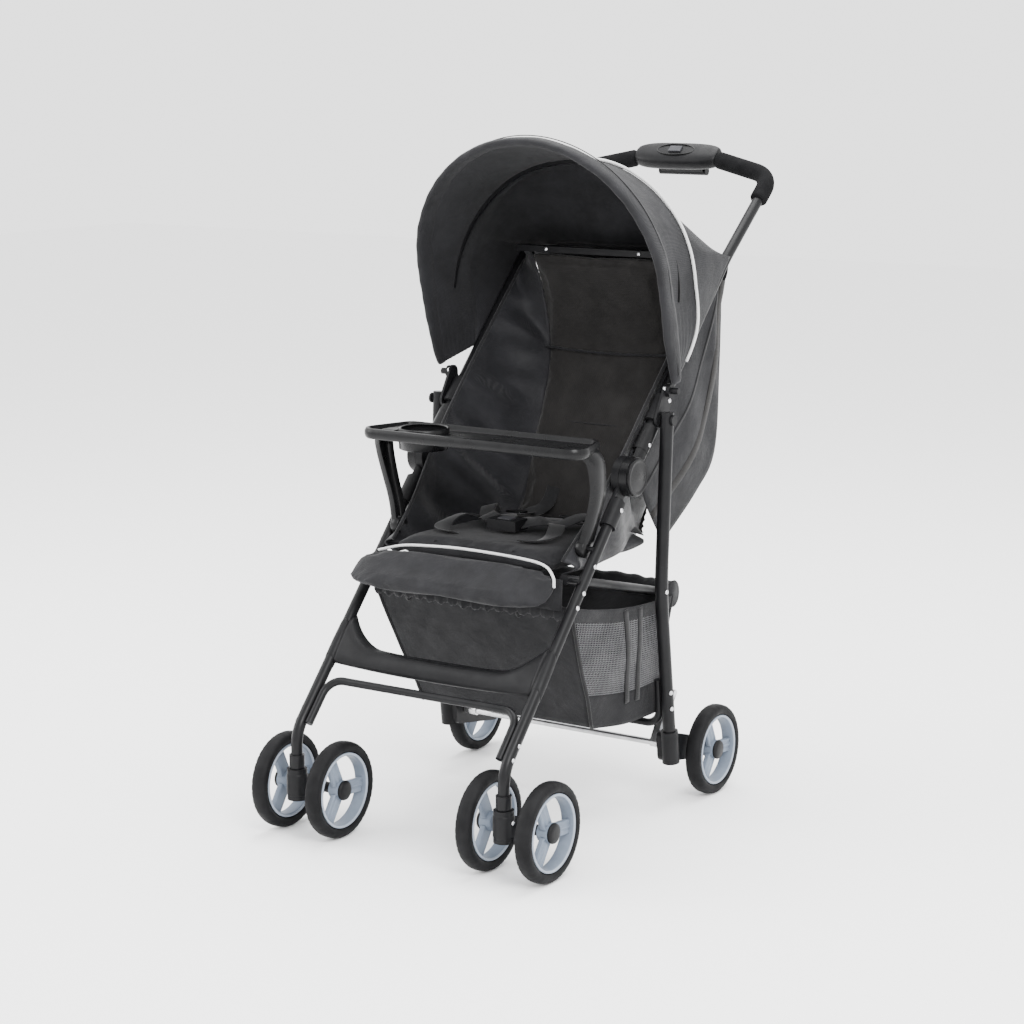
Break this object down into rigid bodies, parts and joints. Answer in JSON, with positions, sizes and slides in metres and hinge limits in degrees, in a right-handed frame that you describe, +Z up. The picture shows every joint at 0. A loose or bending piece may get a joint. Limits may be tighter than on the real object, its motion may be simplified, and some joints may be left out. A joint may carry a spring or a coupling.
{
  "type": "baby stroller",
  "caption": "Folding tube-frame baby stroller with swivel casters, reclining sling seat, snack tray, calf rest, sun canopy and shopping basket.",
  "frame": {"origin": "on the floor, in the middle of the stroller's overall length and width", "axes": "+Z up; the front casters are at -Y and the handle at +Y; +X to the right of someone facing the stroller's front"},
  "size_m": [0.496, 0.8672, 1.035],
  "materials": {
    "tube_black": "satin black powder coat",
    "plastic_black": "satin black moulded plastic",
    "foam_black": "soft black foam",
    "cloth_black": "woven black polyester",
    "mesh_brown": "dark woven mesh",
    "strap_black": "black webbing",
    "rim_grey": "blue-grey moulded plastic",
    "tyre_black": "black foamed tyre",
    "steel_rod": "bright steel",
    "button_grey": "dark grey plastic"
  },
  "bodies": {
    "front_frame": {"front_leg_l": "tube_black", "front_leg_r": "tube_black", "front_crossbar": "tube_black", "footrest_bar": "plastic_black", "hinge_base_l": "plastic_black", "hinge_base_r": "plastic_black"},
    "handle_frame": {"handle_tube": "tube_black", "grip_l": "foam_black", "grip_r": "foam_black", "console": "plastic_black", "hinge_cap_l": "plastic_black", "hinge_cap_r": "plastic_black", "hub_bracket_l": "plastic_black", "hub_bracket_r": "plastic_black", "canopy_rear": "cloth_black", "rear_stay": "plastic_black"},
    "lever": {"fold_lever": "plastic_black"},
    "slide": {"safety_slide": "button_grey"},
    "canopy_middle": {"canopy_mid": "cloth_black", "mid_bow": "plastic_black"},
    "canopy_forward": {"canopy_front": "cloth_black", "canopy_rim": "cloth_black"},
    "rear_frame": {"rear_leg_l": "tube_black", "rear_leg_r": "tube_black", "rear_crossbar": "tube_black", "rear_housing_l": "plastic_black", "rear_housing_r": "plastic_black"},
    "brake": {"brake_rod": "steel_rod"},
    "seat_frame": {"seat_tube": "tube_black", "seat_cushion": "cloth_black", "seat_side_l": "cloth_black", "seat_side_r": "cloth_black", "basket": "cloth_black", "crotch_strap": "strap_black", "buckle": "plastic_black"},
    "buckle_release": {"buckle_button": "button_grey"},
    "backrest_frame": {"backrest": "mesh_brown", "back_cover": "cloth_black", "shoulder_straps": "strap_black"},
    "calf_support": {"calf_rest": "cloth_black"},
    "snack_tray": {"tray": "plastic_black"},
    "caster_left": {"caster_l": "plastic_black"},
    "caster_right": {"caster_r": "plastic_black"},
    "wheel_fl_out": {"tyre_fl_out": "tyre_black", "rim_fl_out": "rim_grey"},
    "wheel_fl_in": {"tyre_fl_in": "tyre_black", "rim_fl_in": "rim_grey"},
    "wheel_fr_out": {"tyre_fr_out": "tyre_black", "rim_fr_out": "rim_grey"},
    "wheel_fr_in": {"tyre_fr_in": "tyre_black", "rim_fr_in": "rim_grey"},
    "wheel_rl": {"tyre_rl": "tyre_black", "rim_rl": "rim_grey"},
    "wheel_rr": {"tyre_rr": "tyre_black", "rim_rr": "rim_grey"}
  },
  "joints": [
    {"name": "fold", "type": "hinge", "parent": "front_frame", "child": "handle_frame", "pos_m": [0, -0.06, 0.533], "axis": [-1, 0, 0], "range_deg": [0, 140], "deforming": ["canopy_rear", "canopy_mid", "canopy_front", "seat_cushion", "seat_side_l", "seat_side_r", "basket", "backrest", "back_cover", "shoulder_straps", "calf_rest", "crotch_strap"]},
    {"name": "rear_leg_pivot", "type": "hinge", "parent": "handle_frame", "child": "rear_frame", "pos_m": [0, 0.01, 0.611], "axis": [1, 0, 0], "range_deg": [0, 115.1]},
    {"name": "seat_link_pivot", "type": "hinge", "parent": "front_frame", "child": "seat_frame", "pos_m": [0, -0.198, 0.3985], "axis": [-1, 0, 0], "range_deg": [0, 72.8]},
    {"name": "recline", "type": "hinge", "parent": "seat_frame", "child": "backrest_frame", "pos_m": [0, 0.09, 0.404], "axis": [-1, 0, 0], "range_deg": [0, 28], "deforming": ["seat_side_l", "seat_side_r", "canopy_rear"]},
    {"name": "calf_tilt", "type": "hinge", "parent": "seat_frame", "child": "calf_support", "pos_m": [0, -0.219, 0.41], "axis": [-1, 0, 0], "range_deg": [0, 30]},
    {"name": "tray_tilt", "type": "hinge", "parent": "front_frame", "child": "snack_tray", "pos_m": [0, -0.158, 0.439], "axis": [1, 0, 0], "range_deg": [0, 55]},
    {"name": "canopy_fold", "type": "hinge", "parent": "handle_frame", "child": "canopy_forward", "pos_m": [0, 0.032, 0.652], "axis": [-1, 0, 0], "range_deg": [0, 34]},
    {"name": "canopy_mid_fold", "type": "hinge", "parent": "handle_frame", "child": "canopy_middle", "pos_m": [0, 0.032, 0.652], "axis": [-1, 0, 0], "range_deg": [0, 13]},
    {"name": "brake_press", "type": "hinge", "parent": "rear_frame", "child": "brake", "pos_m": [0, 0.052, 0.094], "axis": [-1, 0, 0], "range_deg": [0, 22]},
    {"name": "lever_squeeze", "type": "slide", "parent": "handle_frame", "child": "lever", "axis": [0, -0.6428, 0.766], "range_m": [0, 0.008], "stiffness_N_per_m": 900},
    {"name": "safety_slide_travel", "type": "slide", "parent": "handle_frame", "child": "slide", "axis": [1, 0, 0], "range_m": [0, 0.008], "stiffness_N_per_m": 250},
    {"name": "buckle_press", "type": "slide", "parent": "seat_frame", "child": "buckle_release", "axis": [0, 0, -1], "range_m": [0, 0.0022], "stiffness_N_per_m": 1500},
    {"name": "caster_left_swivel", "type": "hinge", "parent": "front_frame", "child": "caster_left", "pos_m": [-0.184, -0.397, 0.09], "axis": [0, 0, 1], "continuous": true},
    {"name": "wheel_fl_out_spin", "type": "hinge", "parent": "caster_left", "child": "wheel_fl_out", "pos_m": [-0.234, -0.36, 0.073], "axis": [1, 0, 0], "continuous": true},
    {"name": "wheel_fl_in_spin", "type": "hinge", "parent": "caster_left", "child": "wheel_fl_in", "pos_m": [-0.134, -0.36, 0.073], "axis": [1, 0, 0], "continuous": true},
    {"name": "wheel_rl_spin", "type": "hinge", "parent": "rear_frame", "child": "wheel_rl", "pos_m": [-0.2245, 0.14, 0.071], "axis": [1, 0, 0], "continuous": true},
    {"name": "caster_right_swivel", "type": "hinge", "parent": "front_frame", "child": "caster_right", "pos_m": [0.184, -0.397, 0.09], "axis": [0, 0, 1], "continuous": true},
    {"name": "wheel_fr_out_spin", "type": "hinge", "parent": "caster_right", "child": "wheel_fr_out", "pos_m": [0.234, -0.36, 0.073], "axis": [1, 0, 0], "continuous": true},
    {"name": "wheel_fr_in_spin", "type": "hinge", "parent": "caster_right", "child": "wheel_fr_in", "pos_m": [0.134, -0.36, 0.073], "axis": [1, 0, 0], "continuous": true},
    {"name": "wheel_rr_spin", "type": "hinge", "parent": "rear_frame", "child": "wheel_rr", "pos_m": [0.2245, 0.14, 0.071], "axis": [1, 0, 0], "continuous": true}
  ],
  "couplings": [
    {"joint": "rear_leg_pivot", "follows": "fold", "ratio": 0.82214},
    {"joint": "seat_link_pivot", "follows": "fold", "ratio": 0.52},
    {"joint": "canopy_mid_fold", "follows": "canopy_fold", "ratio": 0.38235}
  ]
}
